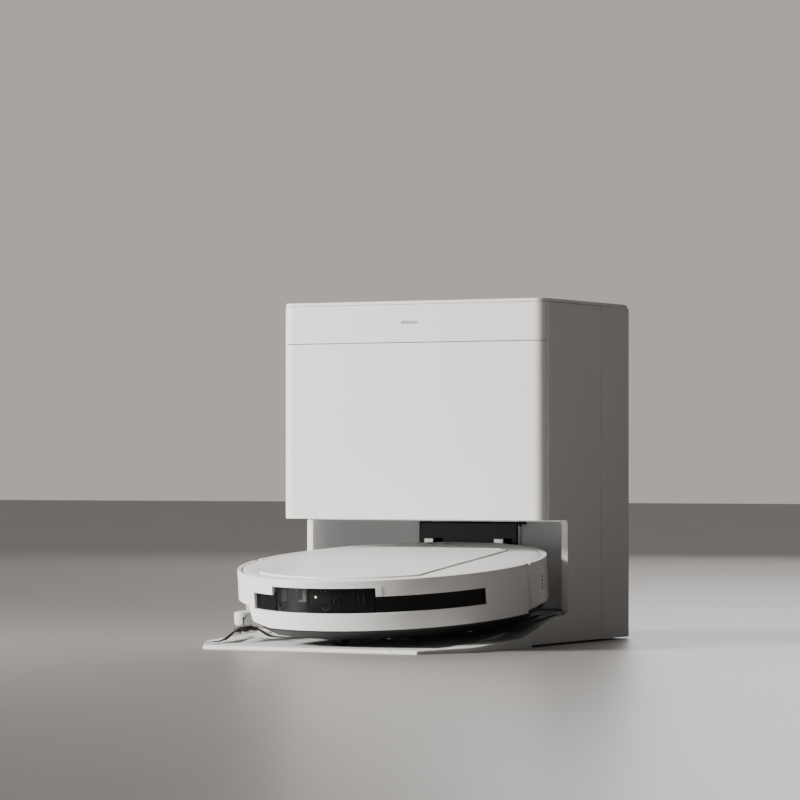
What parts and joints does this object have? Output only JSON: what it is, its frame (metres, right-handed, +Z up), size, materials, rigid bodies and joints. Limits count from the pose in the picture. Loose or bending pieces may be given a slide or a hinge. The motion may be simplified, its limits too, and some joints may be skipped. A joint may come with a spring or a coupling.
{
  "type": "robot vacuum with docking station",
  "caption": "Round vacuuming and mopping robot parked nose out on the ramp of its washing, water and dust emptying station, with a lidded top and a pull off front cover.",
  "frame": {"origin": "centre of the station's footprint, on the floor", "axes": "+Z up, -Y towards the room, where the robot drives out, +X to the right seen from the front"},
  "size_m": [0.35, 0.459, 0.39],
  "materials": {
    "white_shell": "satin moulded plastic",
    "pale_grey": "fine matt moulded plastic",
    "black_plastic": "fine texture",
    "black_window": "polished smoked plastic",
    "dark_rubber": "matt rubber",
    "steel": "plated",
    "smoked_tank": "polished translucent plastic",
    "filter_paper": "non-woven paper",
    "mop_pad": "short microfibre loops",
    "circuit_board": "lacquered board"
  },
  "bodies": {
    "station": {"foot_front": "dark_rubber", "foot_rear": "dark_rubber", "front_ramp": "white_shell", "base_plate": "white_shell", "wash_board": "pale_grey", "side_panel_left": "white_shell", "side_panel_right": "white_shell", "back_cover": "white_shell", "niche_liner": "pale_grey", "docking_window": "black_window", "inner_frame": "pale_grey", "front_fascia": "white_shell", "status_light": "pale_grey", "lid_hinge_pin": "steel", "clean_tank": "smoked_tank", "clean_tank_cap": "black_plastic", "dirty_tank": "smoked_tank", "dirty_tank_cap": "black_plastic", "dust_bag": "filter_paper", "dust_fan": "black_plastic", "power_supply": "black_plastic", "water_pump": "black_plastic", "power_inlet": "black_plastic", "dust_duct": "black_plastic"},
    "station_lid": {"dock_lid": "white_shell"},
    "station_door": {"dock_door": "white_shell"},
    "contact_left": {"charge_contact_left": "steel"},
    "contact_right": {"charge_contact_right": "steel"},
    "drive_link": {"caster_bush": "steel"},
    "robot": {"chassis": "black_plastic", "hull_shell": "white_shell", "rear_cover": "white_shell", "sensor_bay": "black_plastic", "camera_lens": "black_window", "fill_light": "black_window", "line_laser_left": "pale_grey", "line_laser_right": "pale_grey", "dust_bin": "smoked_tank", "dust_filter": "filter_paper", "battery": "black_plastic", "suction_motor": "black_plastic", "main_board": "circuit_board", "brush_guard": "black_plastic"},
    "robot_cover": {"robot_lid": "white_shell"},
    "front_bumper": {"bumper": "white_shell", "bumper_window": "black_window"},
    "power_key": {"power_button": "pale_grey"},
    "home_key": {"home_button": "pale_grey"},
    "wheel_unit_left": {"wheel_module_left": "black_plastic"},
    "wheel_left": {"drive_wheel_left": "dark_rubber"},
    "wheel_unit_right": {"wheel_module_right": "black_plastic"},
    "wheel_right": {"drive_wheel_right": "dark_rubber"},
    "caster": {"caster_fork": "black_plastic"},
    "caster_roller": {"caster_wheel": "dark_rubber"},
    "roller_brush": {"main_brush": "dark_rubber"},
    "brush_arm": {"side_brush_arm": "pale_grey"},
    "corner_brush": {"side_brush": "black_plastic"},
    "mop_lift": {"mop_lift_bar": "black_plastic"},
    "mop_disc_left": {"mop_left": "mop_pad"},
    "mop_disc_right": {"mop_right": "mop_pad"}
  },
  "joints": [
    {"name": "station_lid_hinge", "type": "hinge", "parent": "station", "child": "station_lid", "pos_m": [0, 0.2265, 0.3854], "axis": [-1, 0, 0], "range_deg": [0, 95]},
    {"name": "station_door_pull", "type": "slide", "parent": "station", "child": "station_door", "axis": [0, -1, 0], "range_m": [0, 0.06]},
    {"name": "contact_left_press", "type": "slide", "parent": "station", "child": "contact_left", "axis": [0, 1, 0], "range_m": [0, 0.004], "stiffness_N_per_m": 300},
    {"name": "contact_right_press", "type": "slide", "parent": "station", "child": "contact_right", "axis": [0, 1, 0], "range_m": [0, 0.004], "stiffness_N_per_m": 300},
    {"name": "drive_out", "type": "slide", "parent": "station", "child": "drive_link", "axis": [0, -1, 0], "range_m": [0, 0.36]},
    {"name": "drive_level", "type": "hinge", "parent": "drive_link", "child": "robot", "pos_m": [0, -0.15638, 0.01715], "axis": [1, 0, 0], "range_deg": [-6, 0]},
    {"name": "robot_cover_lift", "type": "slide", "parent": "robot", "child": "robot_cover", "axis": [0, -0.1045, 0.9945], "range_m": [0, 0.033]},
    {"name": "bumper_press", "type": "slide", "parent": "robot", "child": "front_bumper", "axis": [0, 0.9945, 0.1045], "range_m": [0, 0.0025], "stiffness_N_per_m": 400},
    {"name": "power_key_press", "type": "slide", "parent": "robot", "child": "power_key", "axis": [0, 0.1045, -0.9945], "range_m": [0, 0.0015], "stiffness_N_per_m": 500},
    {"name": "home_key_press", "type": "slide", "parent": "robot", "child": "home_key", "axis": [0, 0.1045, -0.9945], "range_m": [0, 0.0015], "stiffness_N_per_m": 500},
    {"name": "suspension_left", "type": "slide", "parent": "robot", "child": "wheel_unit_left", "axis": [0, -0.1045, 0.9945], "range_m": [0, 0.003], "stiffness_N_per_m": 800},
    {"name": "wheel_left_spin", "type": "hinge", "parent": "wheel_unit_left", "child": "wheel_left", "pos_m": [-0.113, -0.03236, 0.0522], "axis": [1, 0, 0], "continuous": true},
    {"name": "suspension_right", "type": "slide", "parent": "robot", "child": "wheel_unit_right", "axis": [0, -0.1045, 0.9945], "range_m": [0, 0.003], "stiffness_N_per_m": 800},
    {"name": "wheel_right_spin", "type": "hinge", "parent": "wheel_unit_right", "child": "wheel_right", "pos_m": [0.113, -0.03236, 0.0522], "axis": [1, 0, 0], "continuous": true},
    {"name": "caster_swivel", "type": "hinge", "parent": "robot", "child": "caster", "pos_m": [0, -0.15998, 0.0227], "axis": [0, -0.1045, 0.9945], "continuous": true},
    {"name": "caster_roll", "type": "hinge", "parent": "caster", "child": "caster_roller", "pos_m": [0, -0.15638, 0.01715], "axis": [1, 0, 0], "continuous": true},
    {"name": "roller_brush_spin", "type": "hinge", "parent": "robot", "child": "roller_brush", "pos_m": [0, -0.08246, 0.03135], "axis": [1, 0, 0], "continuous": true},
    {"name": "brush_arm_swing", "type": "hinge", "parent": "robot", "child": "brush_arm", "pos_m": [-0.106, -0.10732, 0.03829], "axis": [0, -0.1045, 0.9945], "range_deg": [0, 40]},
    {"name": "corner_brush_spin", "type": "hinge", "parent": "brush_arm", "child": "corner_brush", "pos_m": [-0.1328, -0.13936, 0.01783], "axis": [0, -0.1045, 0.9945], "continuous": true},
    {"name": "mop_lift_slide", "type": "slide", "parent": "robot", "child": "mop_lift", "axis": [0, -0.1045, 0.9945], "range_m": [0, 0.007]},
    {"name": "mop_left_spin", "type": "hinge", "parent": "mop_lift", "child": "mop_disc_left", "pos_m": [-0.064, 0.05787, 0.03554], "axis": [0, -0.1045, 0.9945], "continuous": true},
    {"name": "mop_right_spin", "type": "hinge", "parent": "mop_lift", "child": "mop_disc_right", "pos_m": [0.064, 0.05787, 0.03554], "axis": [0, -0.1045, 0.9945], "continuous": true}
  ],
  "couplings": [
    {"joint": "drive_level", "follows": "drive_out", "rad_per_m": -0.29089},
    {"joint": "mop_right_spin", "follows": "mop_left_spin", "ratio": -1}
  ]
}
